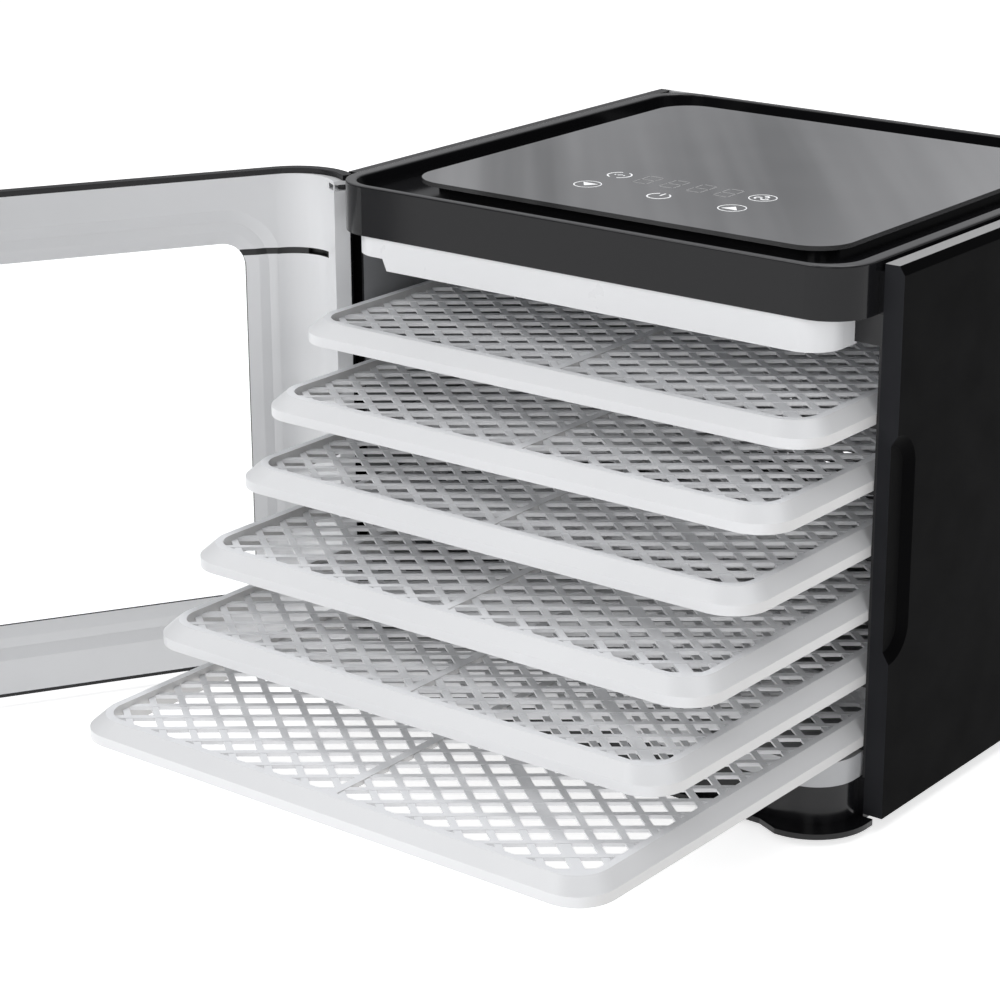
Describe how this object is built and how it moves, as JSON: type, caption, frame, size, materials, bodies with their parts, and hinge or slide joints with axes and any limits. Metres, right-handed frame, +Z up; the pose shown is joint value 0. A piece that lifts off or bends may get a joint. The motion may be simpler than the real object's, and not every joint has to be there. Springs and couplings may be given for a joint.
{
  "type": "food dehydrator",
  "caption": "Countertop food dehydrator with slide-out mesh trays, a wrap-round side-hinged window door, touch-glass top and rear fan with ring heater.",
  "frame": {"origin": "centre of the flat label pad in the base pan's underside; the rubber feet reach 3.5 mm lower", "axes": "+Z up, -Y out of the front where the trays slide out, +X to the right seen from the front"},
  "size_m": [0.5433, 0.6067, 0.298],
  "materials": {
    "black_gloss": "glossy black moulding",
    "black_paint": "satin black moulding",
    "grey_glass": "dark reflective touch glass",
    "smoked_glass": "smoked window pane",
    "board": "green circuit board",
    "grey_plastic": "light grey moulding",
    "white_plastic": "white moulding",
    "silver_plastic": "pale grey moulding",
    "tray_plastic": "white tray plastic",
    "grey_metal": "grey sheet cover",
    "steel": "plain steel",
    "heater_wire": "heater tube",
    "fan_alloy": "fan alloy",
    "black_plastic": "black moulding",
    "foot_rubber": "black rubber"
  },
  "bodies": {
    "cabinet": {"base_pan": "black_gloss", "foot_front_left": "foot_rubber", "foot_front_right": "foot_rubber", "foot_rear_left": "foot_rubber", "foot_rear_right": "foot_rubber", "left_side_panel": "black_paint", "right_side_panel": "black_paint", "door_catch_plate": "steel", "header_shell": "black_gloss", "touch_glass": "grey_glass", "display_board": "board", "liner_left_wall": "grey_plastic", "liner_right_wall": "grey_plastic", "liner_top_band": "white_plastic", "liner_floor": "grey_plastic", "rear_air_baffle": "grey_plastic", "upper_hinge_arm": "steel", "lower_hinge_arm": "steel", "rear_cover": "grey_metal", "rear_screw_1": "steel", "rear_screw_2": "steel", "rear_screw_3": "steel", "rear_screw_4": "steel", "fan_motor": "steel", "motor_bracket": "steel", "heater_element": "heater_wire", "heater_frame": "steel", "thermal_cutout": "black_plastic", "power_board": "board", "power_inlet": "black_plastic"},
    "door": {"door_shell": "black_gloss", "door_liner": "silver_plastic", "door_window": "smoked_glass", "door_magnet": "steel", "upper_hinge_pin": "steel", "lower_hinge_pin": "steel"},
    "tray_1": {"tray_1": "tray_plastic"},
    "tray_2": {"tray_2": "tray_plastic"},
    "tray_3": {"tray_3": "tray_plastic"},
    "tray_4": {"tray_4": "tray_plastic"},
    "tray_5": {"tray_5": "tray_plastic"},
    "tray_6": {"tray_6": "tray_plastic"},
    "fan": {"fan_impeller": "fan_alloy"}
  },
  "joints": [
    {"name": "door_swing", "type": "hinge", "parent": "cabinet", "child": "door", "pos_m": [-0.1725, -0.1548, 0.148], "axis": [0, 0, -1], "range_deg": [-37, 0]},
    {"name": "tray_1_slide", "type": "slide", "parent": "cabinet", "child": "tray_1", "axis": [0, -1, 0], "range_m": [-0.0337, 0.1963]},
    {"name": "tray_2_slide", "type": "slide", "parent": "cabinet", "child": "tray_2", "axis": [0, -1, 0], "range_m": [-0.0647, 0.1653]},
    {"name": "tray_3_slide", "type": "slide", "parent": "cabinet", "child": "tray_3", "axis": [0, -1, 0], "range_m": [-0.0867, 0.1433]},
    {"name": "tray_4_slide", "type": "slide", "parent": "cabinet", "child": "tray_4", "axis": [0, -1, 0], "range_m": [-0.1234, 0.1066]},
    {"name": "tray_5_slide", "type": "slide", "parent": "cabinet", "child": "tray_5", "axis": [0, -1, 0], "range_m": [-0.153, 0.077]},
    {"name": "tray_6_slide", "type": "slide", "parent": "cabinet", "child": "tray_6", "axis": [0, -1, 0], "range_m": [-0.2085, 0.0215]},
    {"name": "fan_spin", "type": "hinge", "parent": "cabinet", "child": "fan", "pos_m": [0, 0.129, 0.1455], "axis": [0, 1, 0], "continuous": true}
  ]
}
